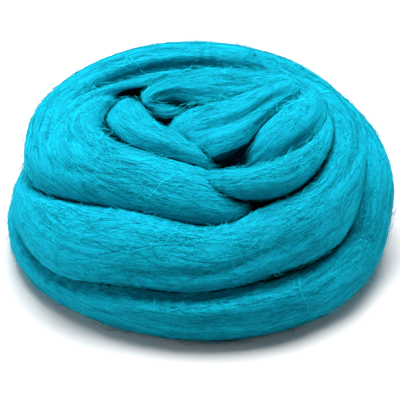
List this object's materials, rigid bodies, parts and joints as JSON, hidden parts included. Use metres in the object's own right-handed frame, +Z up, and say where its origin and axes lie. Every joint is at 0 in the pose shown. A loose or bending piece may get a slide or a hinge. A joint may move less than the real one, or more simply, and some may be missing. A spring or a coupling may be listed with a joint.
{
  "type": "wool roving",
  "caption": "Combed wool roving wound by hand into a loose, low nest that rests on its lowest turn.",
  "frame": {"origin": "middle of the nest's bounding box in X and Y, on the surface it rests on", "axes": "+X across the widest side, to the right when the nest is seen from the front; +Y to the back; +Z up"},
  "size_m": [0.1988, 0.1696, 0.0853],
  "materials": {
    "combed_wool": "matte turquoise wool, all fibres combed along the sliver"
  },
  "bodies": {
    "root": {"roving_coil": "combed_wool"}
  },
  "joints": []
}
